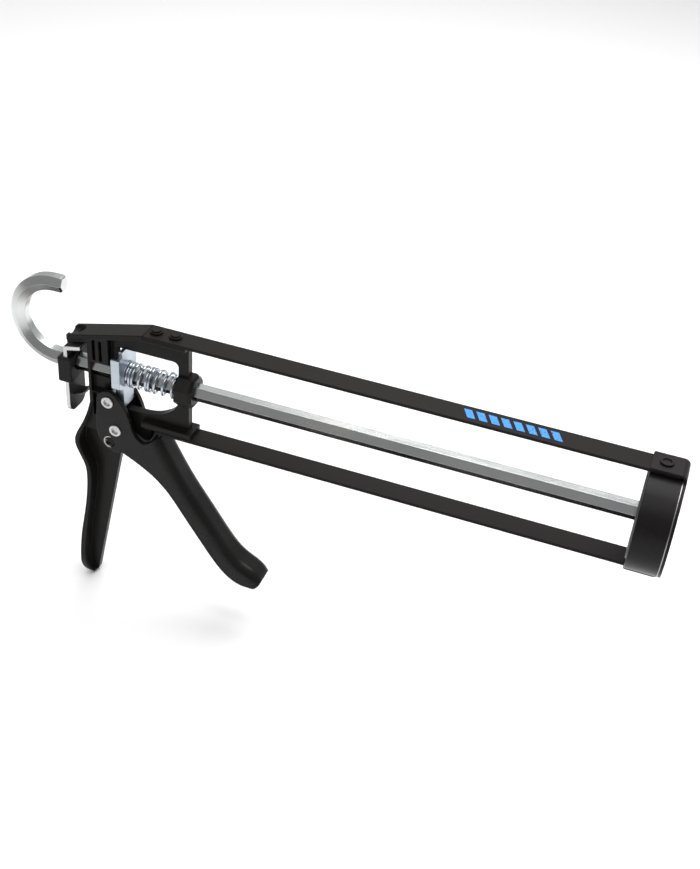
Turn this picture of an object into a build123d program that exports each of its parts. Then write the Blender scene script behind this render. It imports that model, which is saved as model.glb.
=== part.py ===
"""Skeleton caulking gun for 310 ml cartridges.

The push rod lies on the X axis, +X points to the muzzle and +Z points up.
The origin is where the rod axis leaves the front boss of the body casting.
"""
from build123d import *
import os
from math import cos, pi, radians, sin, sqrt

os.makedirs("parts", exist_ok=True)

# ---------------------------------------------------------------- sizes (mm)
# cartridge bay
bay_length = 223.4          # body boss to the rear rim of the cup
cup_radius = 27.1           # outside of the cup
cup_depth = 15.6            # rear rim to front face
cup_wall = 1.5
nozzle_hole_d = 30.0        # hole in the front of the cup

# flat steel straps
strap_width = 12.2
strap_thick = 1.75
strap_rear_top = -26.4      # where the upper strap begins on the casting
strap_rear_bottom = -20.0   # where the lower strap begins on the casting

# front plate with a tab folded over each strap
strip_width = 13.8
strip_thick = 1.2
tab_length = 17.0
bend_out = 3.2              # outer radius of the fold
front_rivet_edge = 6.6      # rear of the tab to its rivet

# rivets
strap_rivet_shank = 4.0
strap_rivet_head = 6.6
strap_rivet_rise = 1.9
strap_rivet_pitch = 10.4
strap_rivet_edge = 4.5      # strap end to the first rivet
front_rivet_head = 6.4
front_rivet_recess = 4.4

# push rod: hexagonal bar, one flat on top
rod_flats = 8.0
rod_fit = 0.2               # running gap of every hole along the rod
hook_radius = 21.5          # bend radius of the rod axis
hook_start = -77.5          # where the bend leaves the rod axis
hook_straight = 5.2         # straight end past the half turn
stud_d = 6.0
stud_length = 8.0

# plunger
plunger_gap = 2.2           # radial gap between plunger and cup
plunger_thick = 1.5
plunger_lip = 5.5
nut_flats = 10.0
nut_thick = 5.0

# body casting: a plate with flanges, a pillar and a pivot boss
frame_half = 2.2            # half thickness of the plate
body_half = 5.6             # half width of the pillar, the tail and the pivot boss
wall_rear = -9.1
wall_front = -3.6
beam_top = 11.3             # depth of the upper beam under its strap
beam_bottom = 6.4           # depth of the lower beam above its strap
pillar_rear = -58.3
pillar_front = -46.5
window_gap = 0.4            # behind the drive plate
tail_x = -69.5              # rear end of the upper beam
tail_top = 18.0
tail_under = 13.2
tail_rise = 2.8             # the underside climbs towards the pillar
flange_thick = 1.7          # top flange, under the upper strap
base_thick = 3.0            # base flange, on the lower strap
base_half = 5.8
base_rear = -29.0
base_front = -1.0
hump_rise = 4.7
hump_length = 15.5
boss_flats = 17.0           # eight-sided rod boss in the front wall
boss_chamfer = 1.5
pivot_boss_r = 6.2
window_corner = 3.0

# fixed handle
handle_half = 9.0           # half width of the rear flange
handle_skin = 2.4           # thickness of the flange
web_half = 1.7              # half thickness of the web
handle_bottom = -142.6
foot_round = 17.0           # height over which the flange narrows to its foot

# trigger
pivot_x = -42.4
pivot_drop = 2.63           # pivot under the outside of the lower strap
grip_datum = -31.5          # height of the pivot in the drawn outline of the grip
lever_arm = 17.0            # pivot to drive pin
lever_lean = 13.2           # degrees behind vertical when released
trigger_half = 8.6
cheek_thick = 2.5
trigger_skin = 2.7
grip_round = 5.2
spare_hole_d = 6.0

# rivets and bushes of the trigger
rivet_d = 4.0
rivet_head_d = 6.6
rivet_head_h = 0.9
bush_d = 5.6
pin_gap = 0.05              # running fit of rivets in their holes
side_gap = 0.3              # between the cheeks and what stands between them

# drive plate and spring
drive_thick = 4.8           # over the ears and the leg
drive_sheet = 2.0           # the plate itself
ear_width = 1.6
drive_half = 9.5
drive_top = 12.2
drive_neck_half = 5.3
drive_low = -4.6            # lower end of the ears
drive_neck_gap = 0.5        # below the upper beam
drive_leg_half = 5.2
push_gap = 0.25             # drive bush to the drive plate when released
wire_d = 1.4
spring_radius = 6.0         # to the middle of the wire
seat_thick = 0.9
spring_turns = 8.5
drive_leg_low = -18.2       # lower end of the leg

# catch plate, pad and leaf
catch_thick = 2.0
catch_half = 8.0
catch_gap = 10.3            # from the casting to the plate
catch_bottom = -29.0
catch_lip = 7.6
pad_half = 9.2
pad_top = 5.4
pad_bottom = -9.4
pad_rear = 3.4              # pad behind the plate
pad_front = 2.2             # pad in front of the plate
leaf_thick = 0.8
leaf_half = 4.0
leaf_top = -5.6
leaf_bend = -9.0
lip_rise = 1.9

# ---------------------------------------------------------- derived places
top_rivet_x = strap_rear_top + strap_rivet_edge
bottom_rivet_x = strap_rear_bottom + strap_rivet_edge
strap_in = cup_radius + 0.02
strap_out = strap_in + strap_thick
window_top = strap_in - beam_top
window_floor = -strap_in + beam_bottom
cup_front = bay_length + cup_depth
tab_rear = cup_front + strip_thick - tab_length
front_rivet_x = tab_rear + front_rivet_edge
hole_flats = rod_flats + 2 * rod_fit
corner_radius = rod_flats / sqrt(3)
rod_end = bay_length - 0.8
pin_x = pivot_x - lever_arm * sin(radians(lever_lean))
pivot_z = -(strap_out + pivot_drop)
sink = pivot_z - grip_datum
pin_z = pivot_z + lever_arm * cos(radians(lever_lean))
drive_rear = pin_x + bush_d / 2 + push_gap
drive_front = drive_rear + drive_thick
cheek_in = trigger_half - cheek_thick
catch_front = pillar_rear - catch_gap
catch_rear = catch_front - catch_thick
lip_top = tail_under - 1.3
window_rear = drive_rear - window_gap
sheet_rear = drive_front - drive_sheet
strap_end = cup_front - bend_out + strip_thick


def hexagon_flat_up(flats):
    """Hexagon in the YZ plane with a flat on top."""
    RegularPolygon(radius=flats / 2, side_count=6, major_radius=False)


def save(part, label):
    part.label = label
    export_step(part, f"parts/{label}.step")
    box = part.bounding_box()
    print(label, len(part.solids()), round(part.volume, 1), box.min, box.max)


# ------------------------------------------------------------ body casting
slope = (strap_out - tail_top) / (strap_rear_top - 0.3 - tail_x)
pillar_top = tail_top + slope * (pillar_front - tail_x)
roller_room = pin_x - bush_d / 2 - 1.2

with BuildPart() as body_casting:
    # the frame plate seen from the side
    with BuildSketch(Plane.XZ):
        with BuildLine():
            Polyline(
                (wall_front, strap_in),
                (strap_rear_top - 0.3, strap_in),
                (strap_rear_top - 0.3, strap_out),
                (tail_x, tail_top),
                (tail_x, tail_under),
                (pillar_rear, tail_under + tail_rise),
                (pillar_rear, -20.0),
                (-61.0, -30.0),
                (-61.5, -37.0),
                (-44.0, -37.0),
                (-38.0, -34.0),
                (-36.4, -32.4),
            )
            Spline((-36.4, -32.4), (-31.9, -36.1), (-28.0, -37.9))
            ThreePointArc((-28.0, -37.9), (-26.4, -37.4), (-25.8, -35.6))
            Polyline((-25.8, -35.6), (-24.2, -strap_in), (wall_front, -strap_in), (wall_front, strap_in))
        make_face()
    extrude(amount=frame_half, both=True)

    # thick parts: tail, pillar and top of the handle
    with BuildSketch(Plane.XZ):
        with BuildLine():
            Polyline(
                (tail_x, tail_under),
                (tail_x, tail_top),
                (pillar_front, pillar_top),
                (pillar_front, -8.0),
                (roller_room, -8.0),
                (roller_room, window_floor),
                (-47.0, window_floor - 4.0),
                (-45.0, -37.0),
                (-61.5, -37.0),
                (-61.0, -30.0),
                (pillar_rear, -20.0),
                (pillar_rear, tail_under + tail_rise),
                close=True,
            )
        make_face()
        with Locations((pivot_x, pivot_z)):
            Circle(pivot_boss_r)
    extrude(amount=body_half, both=True)

    # window for the drive plate and its spring
    with BuildSketch(Plane.XZ):
        with BuildLine():
            Polyline(
                (wall_rear, -7.5),
                (wall_rear, window_top),
                (window_rear, window_top),
                (window_rear, -8.0),
                (roller_room, -8.0),
                (roller_room, window_floor),
                (-30.0, window_floor),
            )
            Spline(
                (-30.0, window_floor),
                (-21.1, window_floor + 1.5),
                (-13.5, window_floor + 5.9),
                (wall_rear, -7.5),
                tangents=((1.0, 0.0), (0.3, 1.0)),
            )
        make_face()
    extrude(amount=body_half + 1, both=True, mode=Mode.SUBTRACT)
    fillet(
        [e for e in body_casting.edges().filter_by(Axis.Y)
         if abs(e.center().X - wall_rear) < 0.1 and abs(e.center().Z - window_top) < 0.1],
        window_corner,
    )

    # top flange as wide as the strap
    with BuildSketch(Plane.XZ):
        with BuildLine():
            Polyline(
                (strap_rear_top - 0.3, strap_out),
                (tail_x, tail_top),
                (tail_x, tail_top - flange_thick - 1.2),
                (tail_x + 3.0, tail_top - flange_thick - 0.4),
                (strap_rear_top - 2.0, strap_in - flange_thick),
                (wall_front, strap_in - flange_thick),
                (wall_front, strap_in),
                (strap_rear_top - 0.3, strap_in),
                close=True,
            )
        make_face()
    extrude(amount=strap_width / 2, both=True)

    # rounded hump over the catch plate
    hump_x = tail_x - 1.9
    hump_z = tail_top - 1.9 * slope + 1.0
    with BuildSketch(Plane.XZ):
        with BuildLine():
            Spline(
                (hump_x, hump_z),
                (hump_x + 0.9, hump_z + hump_rise * 0.8),
                (hump_x + 3.0, hump_z + 3.0 * slope + hump_rise),
                (hump_x + 7.6, hump_z + 7.6 * slope + hump_rise * 0.68),
                (hump_x + hump_length, hump_z + hump_length * slope),
                tangents=((-slope, 1.0), (1.0, slope)),
            )
            Line((hump_x + hump_length, hump_z + hump_length * slope), (hump_x, hump_z))
        make_face()
    revolve(axis=Axis((hump_x, 0, hump_z), (1, 0, slope)))

    # base flange on the lower strap
    with BuildSketch(Plane.XY.offset(-strap_in)):
        with Locations(((base_rear + base_front) / 2, 0)):
            Rectangle(base_front - base_rear, 2 * base_half)
    extrude(amount=base_thick)

    # eight-sided rod boss in the front wall
    with BuildSketch(Plane.YZ.offset(wall_rear)):
        RegularPolygon(radius=boss_flats / 2, side_count=8, major_radius=False, rotation=22.5)
    extrude(amount=-wall_rear)
    chamfer(body_casting.faces().sort_by(Axis.X)[-1].edges(), boss_chamfer)

    # web of the fixed handle
    with BuildSketch(Plane.XZ):
        with BuildLine():
            Spline(
                (-60.0, -30.0),
                (-65.6, -44.6),
                (-60.4, -63.0),
                (-66.8, -126.5),
                tangents=((-0.35, -1.0), (0.0, -1.0)),
            )
            Spline(
                (-66.8, -126.5),
                (-66.4, -137.0),
                (-63.0, handle_bottom + 1.2),
                (-60.7, -138.4),
                tangents=((0.0, -1.0), (0.1, 1.0)),
            )
            Polyline((-60.7, -138.4), (-43.3, -50.0), (-44.0, -34.0), (-60.0, -30.0))
        make_face()
    extrude(amount=web_half, both=True)

    # rear flange of the handle, turned under its foot
    with BuildSketch(Plane.XZ):
        with BuildLine():
            Line((-56.4, -20.0), (-58.3, -20.0))
            Spline(
                (-58.3, -20.0),
                (-62.3, -33.5),
                (-66.7, -45.4),
                (-61.6, -59.4),
                (-60.7, -69.0),
                (-64.3, -98.0),
                (-67.9, -127.4),
                tangents=((-0.15, -1.0), (-0.05, -1.0)),
            )
            Spline(
                (-67.9, -127.4),
                (-68.0, -134.0),
                (-66.2, -140.2),
                (-63.0, handle_bottom),
                tangents=((-0.05, -1.0), (1.0, -0.1)),
            )
            Line((-63.0, handle_bottom), (-62.2, handle_bottom + handle_skin))
            Spline(
                (-62.2, handle_bottom + handle_skin),
                (-64.4, -138.6),
                (-65.5, -133.0),
                (-65.5, -127.0),
                tangents=((-1.0, 0.1), (0.02, 1.0)),
            )
            Spline(
                (-65.5, -127.0),
                (-61.9, -98.0),
                (-58.3, -69.0),
                (-59.0, -60.0),
                (-64.3, -45.4),
                (-60.0, -33.0),
                (-56.4, -20.0),
                tangents=((0.08, 1.0), (0.15, 1.0)),
            )
        make_face()
    extrude(amount=handle_half, both=True)

    # the flange narrows to a rounded foot
    with BuildSketch(Plane.YZ):
        with Locations((0, handle_bottom + foot_round * 0.5 - 1)):
            Rectangle(4 * handle_half, foot_round + 2)
        with Locations((0, handle_bottom + foot_round)):
            Ellipse(handle_half, foot_round + 0.4, mode=Mode.SUBTRACT)
    extrude(amount=-80.0, mode=Mode.SUBTRACT)

    # flange narrows to the frame at its top
    with BuildSketch(Plane.YZ):
        with BuildLine():
            Polyline(
                (handle_half, -34.0),
                (body_half, -19.0),
                (handle_half + 1, -19.0),
                (handle_half + 1, -34.0),
                close=True,
            )
        make_face()
        mirror(about=Plane.YZ)
    extrude(amount=-80.0, mode=Mode.SUBTRACT)

    # side pockets: around the rod, grooves of the pillar
    for side in (-1, 1):
        with BuildSketch(Plane.XZ.offset(-side * body_half)):
            with Locations((-50.6, -3.6)):
                Rectangle(12.4, 18.0)
            with Locations((-54.6, 12.6), (-50.9, 12.6)):
                Rectangle(1.7, 12.0)
            with Locations((-55.0, -20.0)):
                Rectangle(2.4, 14.0)
        extrude(amount=side * 2.7, mode=Mode.SUBTRACT)

    # rod bore, rivet holes of the straps, pivot hole
    with BuildSketch(Plane.YZ.offset(tail_x - 5)):
        hexagon_flat_up(hole_flats)
    extrude(amount=-tail_x + 12, mode=Mode.SUBTRACT)
    with BuildSketch(Plane.XZ.offset(-10)):
        with Locations((pivot_x, pivot_z)):
            Circle(bush_d / 2)
    extrude(amount=20, mode=Mode.SUBTRACT)

    for place, face, depth in (
        (top_rivet_x, strap_in, -flange_thick), (bottom_rivet_x, -strap_in, base_thick)
    ):
        with BuildSketch(Plane.XY.offset(face)):
            with Locations((place, 0), (place + strap_rivet_pitch, 0)):
                Circle(strap_rivet_shank / 2)
        extrude(amount=depth, mode=Mode.SUBTRACT)

save(body_casting.part, "body_casting")


# ------------------------------------------------------------------ straps
def strap(rear, face, rivet_place):
    """Flat bar along X lying outwards of a face height."""
    out = 1 if face > 0 else -1
    with BuildPart() as bar:
        with BuildSketch(Plane.XY.offset(face)):
            with Locations(((rear + strap_end) / 2, 0)):
                Rectangle(strap_end - rear, strap_width)
            with Locations(
                (rivet_place, 0), (rivet_place + strap_rivet_pitch, 0), (front_rivet_x, 0)
            ):
                Circle(strap_rivet_shank / 2, mode=Mode.SUBTRACT)
        extrude(amount=out * strap_thick)
        long_edges = bar.edges().filter_by(Axis.X)
        fillet(long_edges, 0.25)
    return bar.part


save(strap(strap_rear_top, strap_in, top_rivet_x), "strap_top")
save(strap(strap_rear_bottom, -strap_in, bottom_rivet_x), "strap_bottom")


def strap_rivets(place, face, depth):
    """Pair of stepped rivets that hold a strap on the casting."""
    out = 1 if face > 0 else -1
    with BuildPart() as rivets:
        with BuildSketch(Plane.XY.offset(face - out * depth)):
            with Locations((place, 0), (place + strap_rivet_pitch, 0)):
                Circle(strap_rivet_shank / 2)
        extrude(amount=out * (depth + strap_thick))
        with BuildSketch(Plane.XY.offset(face + out * strap_thick)):
            with Locations((place, 0), (place + strap_rivet_pitch, 0)):
                Circle(strap_rivet_head / 2)
        extrude(amount=out * strap_rivet_rise * 0.55)
        with BuildSketch(Plane.XY.offset(face + out * (strap_thick + strap_rivet_rise * 0.55))):
            with Locations((place, 0), (place + strap_rivet_pitch, 0)):
                Circle(strap_rivet_head / 2 - 0.9)
        extrude(amount=out * strap_rivet_rise * 0.45)
    return rivets.part


save(strap_rivets(top_rivet_x, strap_in, flange_thick), "strap_rivets_top")
save(strap_rivets(bottom_rivet_x, -strap_in, base_thick), "strap_rivets_bottom")

# --------------------------------------------------------------------- cup
with BuildPart() as cup:
    with BuildSketch(Plane.YZ.offset(bay_length)):
        Circle(cup_radius)
        Circle(cup_radius - cup_wall, mode=Mode.SUBTRACT)
    extrude(amount=cup_depth)
    rims = cup.edges().filter_by(GeomType.CIRCLE)
    fillet(rims.group_by(Axis.X)[0], 0.4)
    fillet([e for e in rims if e.center().X > cup_front - 0.1 and e.radius > cup_radius - 0.1], 0.4)
    with BuildSketch(Plane.XY.offset(-cup_radius - 1)):
        with Locations((front_rivet_x, 0)):
            Circle(strap_rivet_shank / 2)
    extrude(amount=2 * cup_radius + 2, mode=Mode.SUBTRACT)

save(cup.part, "cup")

# ------------------------------------- front plate with its two folded tabs
plate_face = cup_front + strip_thick
tab_top = strap_out + strip_thick
bend_in = bend_out - strip_thick

with BuildPart() as front_plate:
    with BuildSketch(Plane.YZ.offset(cup_front)):
        Circle(cup_radius)
    extrude(amount=strip_thick)
    # strip with a round fold over each strap, seen from the side
    for out in (-1, 1):
        turn_x = plate_face - bend_out
        turn_z = out * (tab_top - bend_out)
        with BuildSketch(Plane.XZ):
            with BuildLine():
                Line((plate_face, out * nozzle_hole_d / 2), (plate_face, turn_z))
                ThreePointArc(
                    (plate_face, turn_z),
                    (turn_x + bend_out * sqrt(0.5), turn_z + out * bend_out * sqrt(0.5)),
                    (turn_x, out * tab_top),
                )
                Polyline((turn_x, out * tab_top), (tab_rear, out * tab_top),
                         (tab_rear, out * strap_out), (turn_x, out * strap_out))
                ThreePointArc(
                    (turn_x, out * strap_out),
                    (turn_x + bend_in * sqrt(0.5), turn_z + out * bend_in * sqrt(0.5)),
                    (cup_front, turn_z),
                )
                Polyline((cup_front, turn_z), (cup_front, out * nozzle_hole_d / 2),
                         (plate_face, out * nozzle_hole_d / 2))
            make_face()
        extrude(amount=strip_width / 2, both=True)
    with BuildSketch(Plane.YZ.offset(cup_front - 0.5)):
        Circle(nozzle_hole_d / 2)
    extrude(amount=strip_thick + 1, mode=Mode.SUBTRACT)
    with BuildSketch(Plane.XY.offset(-tab_top - 1)):
        with Locations((front_rivet_x, 0)):
            Circle(strap_rivet_shank / 2)
    extrude(amount=2 * tab_top + 2, mode=Mode.SUBTRACT)
    corners = front_plate.edges().filter_by(Axis.Z).group_by(Axis.X)[0]
    fillet(corners, 1.0)

save(front_plate.part, "front_plate")


def front_rivet(out):
    """Hollow rivet through tab, strap and cup wall."""
    with BuildPart() as rivet:
        with BuildSketch(Plane.XY.offset(out * (cup_radius - cup_wall - rivet_head_h))):
            with Locations((front_rivet_x, 0)):
                Circle(strap_rivet_shank / 2 + 0.8)
        extrude(amount=out * rivet_head_h * 0.85)
        with BuildSketch(Plane.XY.offset(out * (cup_radius - cup_wall - rivet_head_h))):
            with Locations((front_rivet_x, 0)):
                Circle(strap_rivet_shank / 2)
        extrude(amount=out * (strap_out + strip_thick + 0.2 - cup_radius + cup_wall + rivet_head_h))
        with BuildSketch(Plane.XY.offset(out * (strap_out + strip_thick))):
            with Locations((front_rivet_x, 0)):
                Circle(front_rivet_head / 2)
        extrude(amount=out * rivet_head_h)
        with BuildSketch(Plane.XY.offset(out * (strap_out + strip_thick + rivet_head_h))):
            with Locations((front_rivet_x, 0)):
                Circle(front_rivet_recess / 2)
        extrude(amount=-out * rivet_head_h * 0.7, mode=Mode.SUBTRACT)
    return rivet.part


save(front_rivet(1), "front_rivet_top")
save(front_rivet(-1), "front_rivet_bottom")

# ---------------------------------------------------------------- push rod
with BuildPart() as push_rod:
    with BuildLine(Plane.XZ):
        Line((rod_end, 0), (hook_start, 0))
        ThreePointArc(
            (hook_start, 0),
            (hook_start - hook_radius, hook_radius),
            (hook_start, 2 * hook_radius),
        )
        Line((hook_start, 2 * hook_radius), (hook_start + hook_straight, 2 * hook_radius))
    with BuildSketch(Plane.YZ.offset(rod_end)):
        hexagon_flat_up(rod_flats)
    sweep()
    tip_faces = [f for f in push_rod.faces().filter_by(Axis.X) if f.center().Z > hook_radius]
    chamfer(tip_faces[0].edges(), 0.9)
    with BuildSketch(Plane.YZ.offset(rod_end)):
        Circle(stud_d / 2)
    extrude(amount=stud_length)

save(push_rod.part, "push_rod")

# ----------------------------------------------------------------- plunger
plunger_radius = cup_radius - cup_wall - plunger_gap

with BuildPart() as plunger_dish:
    with BuildSketch(Plane.XZ):
        with BuildLine():
            Polyline(
                (rod_end, stud_d / 2),
                (rod_end, plunger_radius - 1.2),
                (rod_end + 1.2, plunger_radius),
                (rod_end + plunger_lip, plunger_radius),
                (rod_end + plunger_lip, plunger_radius - plunger_thick),
                (rod_end + plunger_thick, plunger_radius - plunger_thick),
                (rod_end + plunger_thick, stud_d / 2),
                close=True,
            )
        make_face()
    revolve(axis=Axis.X)

save(plunger_dish.part, "plunger_dish")

with BuildPart() as plunger_nut:
    with BuildSketch(Plane.YZ.offset(rod_end + plunger_thick)):
        RegularPolygon(radius=nut_flats / 2, side_count=6, major_radius=False)
        Circle(stud_d / 2, mode=Mode.SUBTRACT)
    extrude(amount=nut_thick)

save(plunger_nut.part, "plunger_nut")

# ------------------------------------------------------- drive plate, spring
with BuildPart() as drive_plate:
    with BuildSketch(Plane.YZ.offset(sheet_rear)):
        with BuildLine():
            Polyline(
                (0, drive_leg_low),
                (-drive_leg_half + 1.2, drive_leg_low),
                (-drive_leg_half, drive_leg_low + 1.2),
                (-drive_leg_half, drive_low - 2.2),
                (-drive_half, drive_low),
                (-drive_half, drive_top),
                (-drive_neck_half, drive_top),
                (-drive_neck_half, window_top - drive_neck_gap),
                (0, window_top - drive_neck_gap),
            )
            mirror(about=Plane.YZ)
        make_face()
    extrude(amount=drive_sheet)
    # leg and ears are deeper than the plate
    with BuildSketch(Plane.YZ.offset(drive_rear)):
        leg_top = drive_low - 2.2
        with Locations((0, (leg_top + drive_leg_low + 1.2) / 2)):
            Rectangle(2 * drive_leg_half, leg_top - drive_leg_low - 1.2)
        for side in (-1, 1):
            with Locations((side * (drive_half - ear_width / 2), (drive_top + drive_low) / 2)):
                Rectangle(ear_width, drive_top - drive_low)
    extrude(amount=drive_thick)
    with BuildSketch(Plane.YZ.offset(sheet_rear)):
        RegularPolygon(radius=hole_flats / 2, side_count=6, major_radius=False)
    extrude(amount=drive_sheet, mode=Mode.SUBTRACT)
    edge_lines = drive_plate.edges().filter_by(Axis.Z)
    fillet([e for e in edge_lines if abs(abs(e.center().Y) - drive_half) < 0.01], 0.5)

save(drive_plate.part, "drive_plate")

with BuildPart() as spring_seat:
    with BuildSketch(Plane.YZ.offset(drive_front)):
        Circle(spring_radius + wire_d / 2 + 0.2)
        Circle(corner_radius + 2 * rod_fit, mode=Mode.SUBTRACT)
    extrude(amount=seat_thick)

save(spring_seat.part, "spring_seat")

spring_rear = drive_front + seat_thick + wire_d / 2
spring_front = wall_rear - wire_d / 2
spring_pitch = (spring_front - spring_rear) / spring_turns

with BuildPart() as drive_spring:
    with BuildLine() as coil:
        Helix(
            spring_pitch, spring_front - spring_rear, spring_radius,
            center=(spring_rear, 0, 0), direction=(1, 0, 0),
        )
    with BuildSketch(Plane(origin=coil.line @ 0, z_dir=coil.line % 0)):
        Circle(wire_d / 2)
    sweep(is_frenet=True)

save(drive_spring.part, "drive_spring")

# ----------------------------------------------------------------- trigger
# front face of the grip, from the top corner past the finger stop to the toe
grip_front = [(x, sink + z) for x, z in (
    (-18.6, -31.6), (-13.8, -40.2), (-4.2, -57.0),
    (10.6, -78.4), (19.0, -90.4), (28.0, -99.6),
)]
grip_toe = [(36.6, sink - 104.6), (41.0, sink - 109.4)]
# rear edge of the grip, from the cheeks down to the toe
grip_rear = [(x, sink + z) for x, z in (
    (-38.9, -44.9), (-29.0, -50.0), (-19.0, -56.8), (-13.4, -62.4), (-4.0, -75.4),
    (3.7, -86.4), (15.2, -102.2), (21.8, -109.0), (28.4, -112.6), (34.6, -113.2),
)]
cheek_round = 6.3


def shifted(points, distance):
    """Points of an open line moved to its rear side by a distance."""
    moved = []
    for index, (x, z) in enumerate(points):
        before = points[max(index - 1, 0)]
        after = points[min(index + 1, len(points) - 1)]
        run = sqrt((after[0] - before[0]) ** 2 + (after[1] - before[1]) ** 2)
        moved.append((
            x + distance * (after[1] - before[1]) / run,
            z - distance * (after[0] - before[0]) / run,
        ))
    return moved


with BuildPart() as trigger:
    with BuildSketch(Plane.XZ.offset(-trigger_half)):
        with BuildLine():
            Spline(
                (-33.4, sink - 27.5),
                (-34.8, sink - 22.0),
                (-37.4, sink - 16.2),
                (pin_x + cheek_round * cos(radians(35)), pin_z + cheek_round * sin(radians(35))),
            )
            ThreePointArc(
                (pin_x + cheek_round * cos(radians(35)), pin_z + cheek_round * sin(radians(35))),
                (pin_x, pin_z + cheek_round),
                (pin_x - cheek_round, pin_z),
            )
            Spline(
                (pin_x - cheek_round, pin_z),
                (-53.6, sink - 30.0),
                (-49.6, sink - 42.6),
                grip_rear[0],
                tangents=((0.0, -1.0), (1.0, 0.42)),
            )
            Spline(*grip_rear)
            ThreePointArc(grip_rear[-1], (39.3, sink - 112.2), grip_toe[-1])
            Spline(*grip_front, *grip_toe)
            Spline(
                grip_front[0],
                (-22.6, sink - 33.4),
                (-27.0, sink - 35.6),
                (-31.0, sink - 32.6),
                (-33.4, sink - 27.5),
                tangents=((-1.0, 0.0), (-0.3, 1.0)),
            )
        make_face()
    extrude(amount=2 * trigger_half)
    fillet(
        [
            e for e in trigger.edges().filter_by(GeomType.BSPLINE)
            if abs(abs(e.center().Y) - trigger_half) < 0.01
            and (Vector(*grip_front[3], 0) - Vector((e @ 0.5).X, (e @ 0.5).Z, 0)).length < 15
            and (e @ 0.5).X - grip_front[3][0] > -6
        ],
        grip_round,
    )

    # hollow between the cheeks, open to the rear
    inner = shifted(grip_front, trigger_skin)
    with BuildSketch(Plane.XZ):
        with BuildLine():
            Polyline((-60, 0), (-24.4, 0), (-24.4, -34.2), inner[0])
            Spline(*inner)
            Polyline(inner[-1], (inner[-1][0] - 9, inner[-1][1] - 9), (-60, -112), (-60, 0))
        make_face()
    extrude(amount=cheek_in, both=True, mode=Mode.SUBTRACT)

    # holes for both rivets and the spare hole below the pivot
    with BuildSketch(Plane.XZ.offset(-trigger_half - 1)):
        with Locations((pivot_x, pivot_z), (pin_x, pin_z)):
            Circle(rivet_d / 2)
        with Locations((pivot_x - 3.6, pivot_z - 8.6)):
            Circle(spare_hole_d / 2)
    extrude(amount=2 * trigger_half + 2, mode=Mode.SUBTRACT)

save(trigger.part, "trigger")


def cheek_rivet(x, z):
    """Rivet across both cheeks with a dished head at each end."""
    with BuildPart() as rivet:
        with BuildSketch(Plane.XZ):
            with Locations((x, z)):
                Circle(rivet_d / 2)
        extrude(amount=trigger_half + rivet_head_h / 2, both=True)
        for side in (-1, 1):
            with BuildSketch(Plane.XZ.offset(side * trigger_half)):
                with Locations((x, z)):
                    Circle(rivet_head_d / 2)
            extrude(amount=side * rivet_head_h)
            with BuildSketch(Plane.XZ.offset(side * (trigger_half + rivet_head_h))):
                with Locations((x, z)):
                    Circle(rivet_head_d / 2 - 1.35)
            extrude(amount=-side * rivet_head_h * 1.1, taper=10, mode=Mode.SUBTRACT)
        rims = rivet.edges().filter_by(GeomType.CIRCLE)
        fillet([e for e in rims if abs(e.radius - rivet_head_d / 2) < 0.01
                and abs(abs(e.center().Y) - trigger_half - rivet_head_h) < 0.01], 0.3)
    return rivet.part


save(cheek_rivet(pivot_x, pivot_z), "pivot_rivet")
save(cheek_rivet(pin_x, pin_z), "drive_rivet")


def bush(x, z):
    """Bush between the cheeks round a rivet."""
    with BuildPart() as sleeve:
        with BuildSketch(Plane.XZ):
            with Locations((x, z)):
                Circle(bush_d / 2)
                Circle(rivet_d / 2 + pin_gap, mode=Mode.SUBTRACT)
        extrude(amount=cheek_in - side_gap, both=True)
    return sleeve.part


save(bush(pivot_x, pivot_z), "pivot_bush")
save(bush(pin_x, pin_z), "drive_roller")

# --------------------------------------------------- catch plate, pad, leaf
with BuildPart() as catch_plate:
    with BuildSketch(Plane.XZ):
        with BuildLine():
            Polyline(
                (catch_rear, catch_bottom),
                (catch_rear, lip_top - 0.4),
                (catch_rear + 0.4, lip_top),
                (catch_front + catch_lip, lip_top + lip_rise),
                (catch_front + catch_lip, lip_top + lip_rise - catch_thick),
                (catch_front, lip_top - catch_thick),
                (catch_front, catch_bottom),
                close=True,
            )
        make_face()
    extrude(amount=catch_half, both=True)
    with BuildSketch(Plane.YZ.offset(catch_rear - 1)):
        RegularPolygon(
            radius=rod_flats / 2 + 2 * rod_fit, side_count=6, major_radius=False
        )
    extrude(amount=catch_thick + 2, mode=Mode.SUBTRACT)
    foot = catch_plate.edges().filter_by(Axis.X).group_by(Axis.Z)[0]
    fillet(foot, 5.5)

save(catch_plate.part, "catch_plate")

with BuildPart() as release_pad:
    with BuildSketch(Plane.XZ):
        with Locations(((catch_rear - pad_rear + catch_front + pad_front) / 2,
                        (pad_top + pad_bottom) / 2)):
            Rectangle(catch_thick + pad_rear + pad_front, pad_top - pad_bottom)
    extrude(amount=pad_half, both=True)
    fillet(release_pad.edges(), 1.0)
    with BuildSketch(Plane.XY.offset(pad_bottom - 1)):
        with Locations(((catch_rear + catch_front) / 2, 0)):
            Rectangle(catch_thick, 2 * catch_half)
    extrude(amount=pad_top - pad_bottom + 2, mode=Mode.SUBTRACT)
    with BuildSketch(Plane.YZ.offset(catch_rear - pad_rear - 1)):
        RegularPolygon(
            radius=rod_flats / 2 + 3 * rod_fit, side_count=6, major_radius=False
        )
    extrude(amount=catch_thick + pad_rear + pad_front + 2, mode=Mode.SUBTRACT)

save(release_pad.part, "release_pad")

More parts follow.
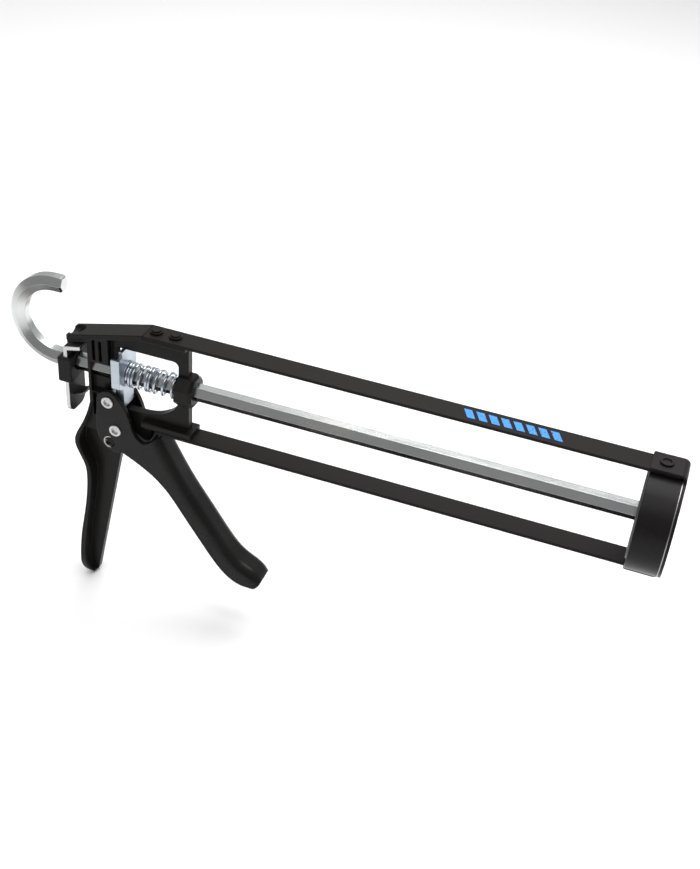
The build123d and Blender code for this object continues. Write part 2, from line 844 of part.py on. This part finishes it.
with BuildPart() as catch_leaf:
    with BuildSketch(Plane.XZ):
        with BuildLine():
            reach = catch_gap
            inner_reach = catch_gap - leaf_thick
            Line((catch_front + reach, leaf_top), (catch_front + reach, leaf_bend))
            ThreePointArc(
                (catch_front + reach, leaf_bend),
                (catch_front + reach * cos(pi / 4), leaf_bend - reach * sin(pi / 4)),
                (catch_front, leaf_bend - reach),
            )
            Line((catch_front, leaf_bend - reach), (catch_front, leaf_bend - inner_reach))
            ThreePointArc(
                (catch_front, leaf_bend - inner_reach),
                (catch_front + inner_reach * cos(pi / 4), leaf_bend - inner_reach * sin(pi / 4)),
                (catch_front + inner_reach, leaf_bend),
            )
            Polyline(
                (catch_front + inner_reach, leaf_bend),
                (catch_front + inner_reach, leaf_top),
                (catch_front + reach, leaf_top),
            )
        make_face()
    extrude(amount=leaf_half, both=True)

save(catch_leaf.part, "catch_leaf")
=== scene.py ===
# %% [markdown]
# ## A skeleton caulking gun
# The real tool is a cast aluminium body with a fixed handle, two flat steel straps that end
# in a pressed cup, a plated hexagonal push rod with a hanging hook, and a trigger that pushes
# the rod forward through a sprung plate. The measured parts come in as a fixed frame, and this
# script gives them their finishes and winds the drive spring again as a free surface.

# %% [markdown]
# The frame is loaded first, because every place below is taken from it. Its box is kept before
# anything is added.

# %% Load the measured frame
import math

import bpy
import numpy as np
from mathutils import Matrix, Vector


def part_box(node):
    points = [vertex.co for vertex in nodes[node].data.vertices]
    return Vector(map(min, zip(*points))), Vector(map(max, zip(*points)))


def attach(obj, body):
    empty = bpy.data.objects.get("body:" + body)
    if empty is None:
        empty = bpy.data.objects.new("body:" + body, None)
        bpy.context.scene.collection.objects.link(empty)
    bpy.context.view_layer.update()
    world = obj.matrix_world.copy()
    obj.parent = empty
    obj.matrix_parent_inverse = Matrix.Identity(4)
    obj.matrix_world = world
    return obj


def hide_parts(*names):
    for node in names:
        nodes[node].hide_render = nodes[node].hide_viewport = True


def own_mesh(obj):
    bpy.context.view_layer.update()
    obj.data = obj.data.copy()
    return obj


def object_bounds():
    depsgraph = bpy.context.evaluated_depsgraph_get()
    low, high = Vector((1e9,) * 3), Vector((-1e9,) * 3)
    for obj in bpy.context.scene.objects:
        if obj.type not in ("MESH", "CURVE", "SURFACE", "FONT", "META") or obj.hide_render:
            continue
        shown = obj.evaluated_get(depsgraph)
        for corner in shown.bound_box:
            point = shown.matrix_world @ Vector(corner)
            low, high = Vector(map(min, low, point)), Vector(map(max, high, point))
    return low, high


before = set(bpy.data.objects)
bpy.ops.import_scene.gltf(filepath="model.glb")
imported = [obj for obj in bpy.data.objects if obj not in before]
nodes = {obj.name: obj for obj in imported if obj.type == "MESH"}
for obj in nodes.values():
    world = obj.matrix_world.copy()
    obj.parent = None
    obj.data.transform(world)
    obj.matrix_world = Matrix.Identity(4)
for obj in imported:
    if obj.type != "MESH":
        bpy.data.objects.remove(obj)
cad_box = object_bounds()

print("frame box in mm:", [[round(v * 1000, 1) for v in corner] for corner in cad_box])

# %% [markdown]
# ## Camera, floor and light
# The gun is seen from its side and from above, a little from the muzzle's end, with a normal
# lens.
# A camera could be aimed with a constraint, but three axes worked out from azimuth, elevation
# and roll keep it exact, and nothing else in the file depends on it.

# %% Camera
CAMERA_PLACE = Vector((0.21960, -0.46814, 0.35058))
AZIMUTH = math.radians(16.395)
ELEVATION = math.radians(35.756)
ROLL = math.radians(5.345)
SENSOR_MM = 36.0
LENS_MM = 51.08

back = Vector((
    math.sin(AZIMUTH) * math.cos(ELEVATION),
    -math.cos(AZIMUTH) * math.cos(ELEVATION),
    math.sin(ELEVATION),
))
level = Vector((math.cos(AZIMUTH), math.sin(AZIMUTH), 0))
upright = back.cross(level)
across = math.cos(ROLL) * level + math.sin(ROLL) * upright
upward = math.cos(ROLL) * upright - math.sin(ROLL) * level

lens = bpy.data.cameras.new("camera")
lens.sensor_width = SENSOR_MM
lens.lens = LENS_MM
camera = bpy.data.objects.new("camera", lens)
bpy.context.scene.collection.objects.link(camera)
turned = Matrix((across, upward, back)).transposed().to_4x4()
camera.matrix_world = Matrix.Translation(CAMERA_PLACE) @ turned
bpy.context.scene.camera = camera
print("lens in mm:", lens.lens)


# %% [markdown]
# The floor is one plain sheet a hair under the handle's foot. One even finish is enough for it,
# because it is only the ground that the gun is seen on.

# %% Floor
FLOOR_GAP = 0.0004
FLOOR_HALF = 4.0


def plain_material(name, colour, roughness):
    """A single even finish, used only for the floor."""
    material = bpy.data.materials.new(name)
    material.use_nodes = True
    shader = material.node_tree.nodes["Principled BSDF"]
    shader.inputs["Base Color"].default_value = (*colour, 1)
    shader.inputs["Roughness"].default_value = roughness
    return material


floor_height = cad_box[0].z - FLOOR_GAP
corner_signs = ((-1, -1), (1, -1), (1, 1), (-1, 1))
floor_corners = [(x * FLOOR_HALF, y * FLOOR_HALF, floor_height) for x, y in corner_signs]
floor_mesh = bpy.data.meshes.new("floor")
floor_mesh.from_pydata(floor_corners, [], [(0, 1, 2, 3)])
floor = bpy.data.objects.new("floor", floor_mesh)
bpy.context.scene.collection.objects.link(floor)
floor_mesh.materials.append(plain_material("pale_floor", (0.9, 0.9, 0.9), 0.9))
print("floor height in mm:", round(floor_height * 1000, 2))


# %% [markdown]
# Black metal is drawn by what it mirrors, so the sky isn't even: it is brighter above and
# behind, and dimmer in front. A picture of a studio could do the same, but a gradient over the
# ray's direction needs no file. Rays that go straight to the camera see plain white.

# %% Sky
SKY_LEAN = (0.0, 0.6, 0.8)
SKY_DIM = 0.27
SKY_BRIGHT = 0.58


def studio_world():
    """A tent that is bright above and behind, and dim in front."""
    world = bpy.data.worlds.new("studio")
    world.use_nodes = True
    tree = world.node_tree
    direction = tree.nodes.new("ShaderNodeTexCoord")
    lean = tree.nodes.new("ShaderNodeVectorMath")
    lean.operation = "DOT_PRODUCT"
    lean.inputs[1].default_value = SKY_LEAN
    level = tree.nodes.new("ShaderNodeMapRange")
    level.interpolation_type = "SMOOTHSTEP"
    limits = {"From Min": -0.45, "From Max": 0.9, "To Min": SKY_DIM, "To Max": SKY_BRIGHT}
    for label, value in limits.items():
        level.inputs[label].default_value = value
    tree.links.new(direction.outputs["Generated"], lean.inputs[0])
    tree.links.new(lean.outputs["Value"], level.inputs["Value"])
    seen = tree.nodes.new("ShaderNodeLightPath")
    brightest = tree.nodes.new("ShaderNodeMath")
    brightest.operation = "MAXIMUM"
    tree.links.new(seen.outputs["Is Camera Ray"], brightest.inputs[0])
    tree.links.new(level.outputs["Result"], brightest.inputs[1])
    tree.links.new(brightest.outputs["Value"], tree.nodes["Background"].inputs["Strength"])
    tree.nodes["Background"].inputs["Color"].default_value = (1, 1, 1, 1)
    return world


bpy.context.scene.world = studio_world()
bpy.context.scene.view_settings.view_transform = "Standard"
print("sky strength:", SKY_DIM, "to", SKY_BRIGHT)


# %% [markdown]
# Three wide area lamps give soft light: a strong one overhead, one above the front, and a weak
# one at the back. A sun would be simpler, but its hard shadows don't suit a studio.

# %% Lamps
def lamp(name, place, target, size, watts):
    """A square area lamp at a place, turned to a target point."""
    light = bpy.data.lights.new(name, "AREA")
    light.size = size
    light.energy = watts
    holder = bpy.data.objects.new(name, light)
    bpy.context.scene.collection.objects.link(holder)
    holder.location = place
    holder.rotation_euler = (Vector(target) - Vector(place)).to_track_quat("-Z", "Y").to_euler()
    return holder


middle = (cad_box[0] + cad_box[1]) / 2
lamp("overhead", middle + Vector((0.1, 0.3, 1.1)), middle, 1.2, 19)
lamp("front", middle + Vector((-0.2, -0.9, 1.4)), middle, 0.7, 5)
lamp("back", middle + Vector((-0.2, 1.2, 0.8)), middle, 1.3, 0.8)
print("lamps:", sorted(light.name for light in bpy.data.lights))


# %% [markdown]
# ## Shared effects
# Several finishes need the same few effects: edges rubbed bare, a fine powder-coat grain, and
# smudges that change the gloss. Each is a node group with named sockets, made once, so that
# every finish can use it with its own numbers.

# %% Helpers for node trees
def group(name, inputs, outputs):
    """An empty shader node group with float inputs and the named outputs."""
    tree = bpy.data.node_groups.new(name, "ShaderNodeTree")
    for label, value in inputs.items():
        socket = tree.interface.new_socket(label, in_out="INPUT", socket_type="NodeSocketFloat")
        socket.default_value = value
    for label, kind in outputs.items():
        tree.interface.new_socket(label, in_out="OUTPUT", socket_type=kind)
    return tree, tree.nodes.new("NodeGroupInput"), tree.nodes.new("NodeGroupOutput")


def math_node(tree, operation, *values):
    """A Math node whose inputs are numbers or sockets. It returns its output socket."""
    node = tree.nodes.new("ShaderNodeMath")
    node.operation = operation
    for slot, value in zip(node.inputs, values):
        if isinstance(value, (int, float)):
            slot.default_value = value
        else:
            tree.links.new(value, slot)
    return node.outputs[0]


def object_noise(tree, scale, detail=3.0, roughness=0.5, stretch=(1, 1, 1)):
    """Noise in Object coordinates, stretched by a Mapping node. scale is a number or socket."""
    place = tree.nodes.new("ShaderNodeTexCoord")
    mapping = tree.nodes.new("ShaderNodeMapping")
    mapping.inputs["Scale"].default_value = stretch
    noise = tree.nodes.new("ShaderNodeTexNoise")
    noise.inputs["Detail"].default_value = detail
    noise.inputs["Roughness"].default_value = roughness
    tree.links.new(place.outputs["Object"], mapping.inputs["Vector"])
    tree.links.new(mapping.outputs["Vector"], noise.inputs["Vector"])
    if isinstance(scale, (int, float)):
        noise.inputs["Scale"].default_value = scale
    else:
        tree.links.new(scale, noise.inputs["Scale"])
    return noise.outputs["Fac"]


def ramp(tree, value, low, high, start=0.0, end=1.0):
    """A smooth Map Range from low..high to start..end."""
    node = tree.nodes.new("ShaderNodeMapRange")
    node.interpolation_type = "SMOOTHSTEP"
    for label, number in (("From Min", low), ("From Max", high), ("To Min", start), ("To Max", end)):
        if isinstance(number, (int, float)):
            node.inputs[label].default_value = number
        else:
            tree.links.new(number, node.inputs[label])
    tree.links.new(value, node.inputs["Value"])
    return node.outputs["Result"]


# %% [markdown]
# Paint goes first where two faces meet. Edges could be painted by hand, but a Bevel node turns
# the normal only near an edge, so the turn itself says where the wear belongs.

# %% Group: worn edges
def make_worn_edges():
    """Wear = how far a rounded-over normal turns from the flat one, broken up by noise."""
    tree, given, result = group(
        "worn_edges", {"Radius": 0.0008, "Breakup": 160.0, "Amount": 0.5}, {"Wear": "NodeSocketFloat"}
    )
    rounded = tree.nodes.new("ShaderNodeBevel")
    rounded.samples = 6
    tree.links.new(given.outputs["Radius"], rounded.inputs["Radius"])
    flat = tree.nodes.new("ShaderNodeNewGeometry")
    dot = tree.nodes.new("ShaderNodeVectorMath")
    dot.operation = "DOT_PRODUCT"
    tree.links.new(rounded.outputs["Normal"], dot.inputs[0])
    tree.links.new(flat.outputs["Normal"], dot.inputs[1])
    turned = math_node(tree, "SUBTRACT", 1.0, dot.outputs["Value"])
    edge = ramp(tree, turned, 0.02, 0.22)
    rough = object_noise(tree, given.outputs["Breakup"], detail=5.0, roughness=0.65)
    share = ramp(tree, math_node(tree, "ADD", rough, given.outputs["Amount"]), 0.95, 1.15)
    tree.links.new(math_node(tree, "MULTIPLY", edge, share), result.inputs["Wear"])
    return tree


# %% [markdown]
# A sprayed coat is never flat: it has fine pebbles and a slower orange peel. Two noises of
# different size are added, and a third, slow one changes the gloss.

# %% Group: coating grain
def make_coat_grain():
    """Height = fine pebbles plus a slower orange peel; Patch = slow blotches for the gloss."""
    tree, given, result = group(
        "coat_grain", {"Grain": 1800.0, "Peel": 260.0},
        {"Height": "NodeSocketFloat", "Patch": "NodeSocketFloat"},
    )
    fine = object_noise(tree, given.outputs["Grain"], detail=2.0)
    peel = object_noise(tree, given.outputs["Peel"], detail=2.0)
    fine_share = math_node(tree, "MULTIPLY", fine, 0.45)
    peel_share = math_node(tree, "MULTIPLY", peel, 0.55)
    tree.links.new(math_node(tree, "ADD", fine_share, peel_share), result.inputs["Height"])
    tree.links.new(object_noise(tree, 34.0, detail=4.0, roughness=0.6), result.inputs["Patch"])
    return tree


# %% [markdown]
# Bar and wire are pulled through a die, which leaves lines along their length. Noise that is
# stretched along X gives such lines without a picture.

# %% Group: drawn lines
def make_drawn_lines():
    """Lines = noise stretched along X, as left by a die; Blotch = slower stains."""
    tree, given, result = group(
        "drawn_lines", {"Fineness": 1500.0},
        {"Lines": "NodeSocketFloat", "Blotch": "NodeSocketFloat"},
    )
    lines = object_noise(tree, given.outputs["Fineness"], detail=3.0, stretch=(0.02, 1, 1))
    tree.links.new(lines, result.inputs["Lines"])
    blotch = object_noise(tree, 60.0, detail=5.0, roughness=0.7, stretch=(0.35, 1, 1))
    tree.links.new(blotch, result.inputs["Blotch"])
    return tree


# %% [markdown]
# Where a coat is rubbed through or a print is worn, the edge of the patch is speckled. A mask
# says where the patch may be, and noise decides how much of it is left.

# %% Group: bare patches
def make_bare_patches():
    """Bare = 1 where noise keeps the patch, inside a given mask."""
    tree, given, result = group(
        "bare_patches", {"Mask": 0.0, "Size": 700.0, "Amount": 0.6}, {"Bare": "NodeSocketFloat"}
    )
    speck = object_noise(tree, given.outputs["Size"], detail=4.0, roughness=0.6)
    kept = ramp(tree, math_node(tree, "ADD", speck, given.outputs["Amount"]), 0.9, 1.1)
    tree.links.new(math_node(tree, "MULTIPLY", kept, given.outputs["Mask"]), result.inputs["Bare"])
    return tree


worn_edges = make_worn_edges()
coat_grain = make_coat_grain()
drawn_lines = make_drawn_lines()
bare_patches = make_bare_patches()
print("shared effects:", worn_edges.name, coat_grain.name, drawn_lines.name, bare_patches.name)


# %% [markdown]
# ## Finishes
# A finish is a Principled shader with its fixed numbers on its own sockets. Only what changes
# over the surface comes from nodes: colour, roughness, metal or not, and the bump.

# %% Helpers for finishes
def start_finish(name, **settings):
    """A new material, with the given numbers set on the shader's own sockets."""
    material = bpy.data.materials.new(name)
    material.use_nodes = True
    shader = material.node_tree.nodes["Principled BSDF"]
    for label, value in settings.items():
        shader.inputs[label.replace("_", " ")].default_value = value
    return material, material.node_tree, shader


def place_group(tree, effect, **values):
    """An instance of a shared effect with its own values."""
    node = tree.nodes.new("ShaderNodeGroup")
    node.node_tree = effect
    for label, value in values.items():
        node.inputs[label].default_value = value
    return node.outputs


def colour_mix(tree, share, first, second):
    """Mix of two colours, each a triple or a socket, by a share from 0 to 1."""
    node = tree.nodes.new("ShaderNodeMix")
    node.data_type = "RGBA"
    for label, value in (("A", first), ("B", second)):
        slot = [s for s in node.inputs if s.name == label and s.type == "RGBA"][0]
        if isinstance(value, tuple):
            slot.default_value = (*value, 1)
        else:
            tree.links.new(value, slot)
    tree.links.new(share, node.inputs["Factor"])
    return [s for s in node.outputs if s.type == "RGBA"][0]


def add_bump(tree, shader, height, distance, radius):
    """Bump from a height of 0 to 1 times a distance in metres, over edges softened by a radius."""
    bump = tree.nodes.new("ShaderNodeBump")
    bump.inputs["Distance"].default_value = distance
    bump.inputs["Strength"].default_value = 1.0
    tree.links.new(height, bump.inputs["Height"])
    rounded = tree.nodes.new("ShaderNodeBevel")
    rounded.samples = 6
    rounded.inputs["Radius"].default_value = radius
    tree.links.new(rounded.outputs["Normal"], bump.inputs["Normal"])
    tree.links.new(bump.outputs["Normal"], shader.inputs["Normal"])


# %% [markdown]
# Some places are bright for a reason of their own: the rim of the cup, the cut edges of the
# catch plate, and the drilled wall of the trigger's spare hole. The drilled wall is bare only on
# its rear half, which is a painted highlight where the light catches it. Each is found from Object
# coordinates or the object's own normal, so that it stays put when the piece moves.

# %% Masks for single places
RIM_DEPTH = 0.0007
RIM_FADE = 0.0002
SPARE_HOLE_X = -0.0460
SPARE_HOLE_Z = -0.0401
SPARE_HOLE_RADIUS = 0.0030
WALL_NEAR = 0.0004
WALL_FAR = 0.0006
HIGHLIGHT_REAR_FULL = -0.0006
HIGHLIGHT_REAR_NONE = 0.0012


def place_parts(tree, output):
    """The three parts of one Texture Coordinate output."""
    source = tree.nodes.new("ShaderNodeTexCoord")
    parts = tree.nodes.new("ShaderNodeSeparateXYZ")
    tree.links.new(source.outputs[output], parts.inputs["Vector"])
    return parts.outputs


def rim_mask(tree):
    """1 on the rounded front rim of the cup."""
    along = place_parts(tree, "Object")["X"]
    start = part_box("cup")[1].x - RIM_DEPTH
    return ramp(tree, along, start, start + RIM_FADE)


def cut_edge_mask(tree):
    """1 on faces that look sideways, where the sheet was cut."""
    sideways = math_node(tree, "ABSOLUTE", place_parts(tree, "Normal")["Y"])
    return ramp(tree, sideways, 0.8, 0.95)


def drilled_wall_and_highlight_mask(tree):
    """1 near the radius of the trigger's spare hole: the bare drilled wall, kept to its rear half as
    a painted highlight.
    """
    parts = place_parts(tree, "Object")
    along = math_node(tree, "SUBTRACT", parts["X"], SPARE_HOLE_X)
    up = math_node(tree, "SUBTRACT", parts["Z"], SPARE_HOLE_Z)
    along_square = math_node(tree, "MULTIPLY", along, along)
    up_square = math_node(tree, "MULTIPLY", up, up)
    distance = math_node(tree, "SQRT", math_node(tree, "ADD", along_square, up_square))
    off = math_node(tree, "ABSOLUTE", math_node(tree, "SUBTRACT", distance, SPARE_HOLE_RADIUS))
    near = ramp(tree, off, WALL_NEAR, WALL_FAR, 1.0, 0.0)
    # Painted highlight: only the rear half of the hole's wall, where the light catches, is bare and
    # bright.
    rear = ramp(tree, along, HIGHLIGHT_REAR_FULL, HIGHLIGHT_REAR_NONE, 1.0, 0.0)
    return math_node(tree, "MULTIPLY", near, rear)


# %% [markdown]
# The strap carries a plain blue mark: a bar cut by slanted gaps. The gaps come from the
# fractional part of (distance along + 0.5 of the distance across) divided by the pitch.

# %% Printed mark
MARK_BLUE = (0.067, 0.27, 0.69)
MARK_SIZES = {"start": 0.1365, "end": 0.1835, "half": 0.0032, "pitch": 0.0059, "share": 0.66}


def printed_bars(tree, start, end, half, pitch, share):
    """1 on slanted bars between two X places, within half the width, on faces that look up."""
    parts = place_parts(tree, "Object")
    upward = ramp(tree, place_parts(tree, "Normal")["Z"], 0.7, 0.9)
    slanted = math_node(tree, "ADD", parts["X"], math_node(tree, "MULTIPLY", parts["Y"], 0.5))
    from_start = math_node(tree, "SUBTRACT", slanted, start)
    step = math_node(tree, "FRACT", math_node(tree, "DIVIDE", from_start, pitch))
    bars = math_node(tree, "LESS_THAN", step, share)
    after = math_node(tree, "GREATER_THAN", slanted, start)
    before = math_node(tree, "LESS_THAN", slanted, end)
    inside = math_node(tree, "LESS_THAN", math_node(tree, "ABSOLUTE", parts["Y"]), half)
    mask = math_node(tree, "MULTIPLY", math_node(tree, "MULTIPLY", bars, inside), upward)
    return math_node(tree, "MULTIPLY", mask, math_node(tree, "MULTIPLY", after, before))


def mask_socket(outputs):
    """The Mask input of the bare_patches instance that these outputs belong to."""
    return outputs["Bare"].node.inputs["Mask"]


def print_over(material, mask_maker, colour, **place):
    """Lay a printed colour over a finish, worn a little by noise."""
    tree = material.node_tree
    shader = tree.nodes["Principled BSDF"]
    under = shader.inputs["Base Color"].links[0].from_socket
    mask = place_group(tree, bare_patches, Size=900.0, Amount=0.62)
    ink = mask_maker(tree, **place)
    tree.links.new(ink, mask_socket(mask))
    tree.links.new(colour_mix(tree, mask["Bare"], under, colour), shader.inputs["Base Color"])


# %% [markdown]
# The body and the trigger are powder coated, and the straps and the cup are painted. All are
# black over metal, so one function makes them: the numbers say how fine the grain is, how far
# the edges are worn, and what shows through.

# %% Black coatings
def black_coating(
    name, colour, shine, grain, depth, bare, wear, radius, amount, gloss_level=0.13, bright=None
):
    """Black coat over metal: grain bump, blotchy gloss, and bare metal where edges rub or where a
    given bright mask says; on the trigger that mask is partly a painted highlight.
    """
    material, tree, shader = start_finish(name, Specular_IOR_Level=gloss_level)
    coat = place_group(tree, coat_grain, Grain=grain)
    edge = place_group(tree, worn_edges, Radius=radius, Amount=amount, Breakup=wear)
    worn = edge["Wear"]
    if bright:
        patch = place_group(tree, bare_patches, Amount=0.72)
        tree.links.new(bright(tree), mask_socket(patch))
        worn = math_node(tree, "MAXIMUM", worn, patch["Bare"])
    lighter = tuple(min(1.0, c * 1.5) for c in colour)
    body = colour_mix(tree, coat["Patch"], colour, lighter)
    tree.links.new(colour_mix(tree, worn, body, bare), shader.inputs["Base Color"])
    gloss = ramp(tree, coat["Patch"], 0.25, 0.75, shine - 0.05, shine + 0.07)
    tree.links.new(gloss, shader.inputs["Roughness"])
    tree.links.new(worn, shader.inputs["Metallic"])
    add_bump(tree, shader, coat["Height"], depth, radius=radius)
    return material


powder_coat = black_coating(
    "satin black powder coat", (0.0068, 0.0061, 0.0056), 0.33, 1900.0, 0.00006,
    (0.5, 0.49, 0.47), 240.0, 0.0007, 0.26,
)
# The trigger's spare hole shows its bare wall on the rear half only, which is a painted highlight.
grip_coat = black_coating(
    "smooth black trigger coat", (0.0068, 0.0063, 0.0060), 0.27, 2600.0, 0.00003,
    (0.5, 0.49, 0.47), 240.0, 0.0007, 0.22, gloss_level=0.17, bright=drilled_wall_and_highlight_mask,
)
strap_paint, marked_paint = (
    black_coating(
        name, (0.0080, 0.0062, 0.0060), 0.4, 2600.0, 0.00002,
        (0.55, 0.54, 0.52), 300.0, 0.0004, 0.3, gloss_level=0.10,
    )
    for name in ("black strap paint", "black strap paint with a blue mark")
)
print_over(marked_paint, printed_bars, MARK_BLUE, **MARK_SIZES)
cup_paint = black_coating(
    "black cup paint", (0.0085, 0.0074, 0.0076), 0.3, 2400.0, 0.00003,
    (0.34, 0.33, 0.32), 300.0, 0.0004, 0.24, bright=rim_mask,
)
plate_paint = black_coating(
    "black front plate paint", (0.0085, 0.0072, 0.0070), 0.36, 2400.0, 0.00003,
    (0.5, 0.47, 0.45), 300.0, 0.0005, 0.3,
)


# %% [markdown]
# The rod, the drive plate and the spring are plated, and the rivets are bare. The same function
# makes them all. The rod's lower faces are also painted darker, as painted shade.
# The catch plate and its pad are black, so they use the coating function again.

# %% Bare and plated metals
def plated_metal(name, colour, tint, shine, spread, fineness, depth, radius=0.0003, underside_shade=None):
    """Metal with drawing lines along X as a bump, slow blotches in its tint and gloss, and, if given,
    a painted shade colour on faces that look down.
    """
    material, tree, shader = start_finish(name, Metallic=1.0)
    drawn = place_group(tree, drawn_lines, Fineness=fineness)
    plating = colour_mix(tree, drawn["Blotch"], colour, tint)
    if underside_shade:
        # Painted shade: faces that look down are mixed towards the given dark colour.
        downward = ramp(tree, place_parts(tree, "Normal")["Z"], -0.1, -0.4)
        plating = colour_mix(tree, downward, plating, underside_shade)
    tree.links.new(plating, shader.inputs["Base Color"])
    gloss = ramp(tree, drawn["Blotch"], 0.3, 0.75, shine, shine + spread)
    tree.links.new(gloss, shader.inputs["Roughness"])
    add_bump(tree, shader, drawn["Lines"], depth, radius=radius)
    return material


# The rod's lower faces get a dark painted shade colour.
rod_plating = plated_metal(
    "bright zinc on the rod", (0.66, 0.70, 0.735), (0.55, 0.54, 0.50), 0.15, 0.14, 1500.0, 0.00003,
    underside_shade=(0.16, 0.155, 0.15),
)
dish_plating = plated_metal(
    "dull zinc on the plunger", (0.16, 0.16, 0.165), (0.08, 0.078, 0.078), 0.4, 0.2, 800.0, 0.00003,
)
zinc_sheet = plated_metal(
    "bluish zinc plate", (0.49, 0.535, 0.58), (0.38, 0.42, 0.47), 0.28, 0.18, 900.0, 0.00003,
)
spring_wire = plated_metal(
    "bright spring wire", (0.52, 0.57, 0.62), (0.40, 0.44, 0.50), 0.2, 0.14, 1800.0, 0.00002,
)
rivet_metal = plated_metal(
    "rivet steel", (0.6, 0.6, 0.6), (0.42, 0.42, 0.43), 0.3, 0.2, 1200.0, 0.00004,
)
leaf_steel = plated_metal(
    "dark spring steel", (0.1, 0.1, 0.105), (0.16, 0.15, 0.14), 0.32, 0.2, 1300.0, 0.00003,
)
catch_coat = black_coating(
    "black sheet with bright cut edges", (0.014, 0.013, 0.013), 0.4, 1500.0, 0.00003,
    (0.6, 0.6, 0.6), 120.0, 0.0006, 0.5, bright=cut_edge_mask,
)
pad_plastic = black_coating(
    "moulded black pad", (0.009, 0.0085, 0.009), 0.46, 1400.0, 0.00005,
    (0.03, 0.03, 0.03), 200.0, 0.0006, 0.1,
)

# %% [markdown]
# Each measured piece gets its finish by name. The plunger's dish is kept duller than the rod.

# %% Finishes on the measured pieces
FINISH_OF = {
    "body_casting": powder_coat, "trigger": grip_coat,
    "strap_top": marked_paint, "strap_bottom": strap_paint,
    "strap_rivets_top": strap_paint, "strap_rivets_bottom": strap_paint,
    "front_plate": plate_paint, "cup": cup_paint,
    "front_rivet_top": plate_paint, "front_rivet_bottom": plate_paint,
    "push_rod": rod_plating, "plunger_dish": dish_plating, "plunger_nut": rod_plating,
    "drive_plate": zinc_sheet, "spring_seat": zinc_sheet,
    "drive_roller": zinc_sheet, "pivot_bush": zinc_sheet,
    "drive_spring": spring_wire, "pivot_rivet": rivet_metal, "drive_rivet": rivet_metal,
    "catch_leaf": leaf_steel, "catch_plate": catch_coat, "release_pad": pad_plastic,
}
for node_name, material in FINISH_OF.items():
    skin = nodes[node_name]
    skin.data.materials.clear()
    skin.data.materials.append(material)
print("nodes with a finish:", len(FINISH_OF), "of", len(nodes))

# %% [markdown]
# ## The drive spring
# A real compression spring isn't evenly wound: its end coils lie against each other, and this
# one also has a close pair in the middle. The wire's centre runs at a fixed radius round the
# rod. Its place along X is a smooth curve through one chosen place per turn. A ring of points
# round the centre, square to the wire, gives the surface:
# centre + wire radius x (cos u x outward + sin u x sideways).

# %% Spring surface
def coil_surface(stops, coil_radius, wire_radius, around=18, per_turn=72):
    """Vertices and faces of a coil whose near side passes each stop, one turn apart."""
    turns = len(stops) - 1
    count = turns * per_turn + 1
    turn = np.linspace(0.0, turns, count)
    whole = np.clip(turn.astype(int), 0, turns - 1)
    part = turn - whole
    stops = np.asarray(stops)
    slope = np.gradient(stops)
    before = stops[whole]
    after = stops[whole + 1]
    before_slope = slope[whole]
    after_slope = slope[whole + 1]
    cubic = (2 * part**3 - 3 * part**2 + 1) * before
    cubic = cubic + (part**3 - 2 * part**2 + part) * before_slope
    along = cubic + (-2 * part**3 + 3 * part**2) * after + (part**3 - part**2) * after_slope
    angle = 2 * math.pi * turn
    outward = np.stack([np.zeros(count), -np.cos(angle), np.sin(angle)], axis=1)
    centre = outward * coil_radius
    centre[:, 0] = along
    tangent = np.gradient(centre, axis=0)
    tangent /= np.linalg.norm(tangent, axis=1, keepdims=True)
    sideways = np.cross(tangent, outward)
    u = np.linspace(0, 2 * math.pi, around, endpoint=False)
    ring = np.cos(u)[None, :, None] * outward[:, None, :]
    ring = ring + np.sin(u)[None, :, None] * sideways[:, None, :]
    points = (centre[:, None, :] + wire_radius * ring).reshape(-1, 3)
    i, j = np.meshgrid(np.arange(count - 1), np.arange(around), indexing="ij")
    k = (j + 1) % around
    here = i * around
    ahead = (i + 1) * around
    quads = np.stack([here + j, ahead + j, ahead + k, here + k], axis=-1)
    ends = [list(range(around)), list(range((count - 1) * around, count * around))[::-1]]
    return points, quads.reshape(-1, 4).tolist() + ends


def new_piece(name, points, faces, material):
    """A mesh object at the origin with one finish."""
    mesh = bpy.data.meshes.new(name)
    mesh.from_pydata(points.tolist(), [], faces)
    mesh.validate()
    mesh.polygons.foreach_set("use_smooth", np.full(len(mesh.polygons), True))
    mesh.materials.append(material)
    piece = bpy.data.objects.new(name, mesh)
    bpy.context.scene.collection.objects.link(piece)
    return piece


# %% [markdown]
# The stops are the wire's places at each full turn, in millimetres from the rear one, scaled to
# the room that the measured spring has.

# %% Drive spring in place
WIRE_RADIUS = 0.0007
COIL_RADIUS = 0.0060
STOPS_MM = np.array([0.0, 1.5, 3.1, 7.0, 10.9, 12.4, 15.6, 20.3, 25.45, 26.95])

spring_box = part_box("drive_spring")
rear_stop = spring_box[0].x + WIRE_RADIUS
front_stop = spring_box[1].x - WIRE_RADIUS
stops = rear_stop + STOPS_MM / STOPS_MM[-1] * (front_stop - rear_stop)
coil_points, coil_faces = coil_surface(stops, COIL_RADIUS, WIRE_RADIUS)
drive_coil = new_piece("drive_coil", coil_points, coil_faces, spring_wire)
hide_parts("drive_spring")
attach(drive_coil, "frame")

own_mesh(drive_coil)
print("spring turns:", len(stops) - 1)
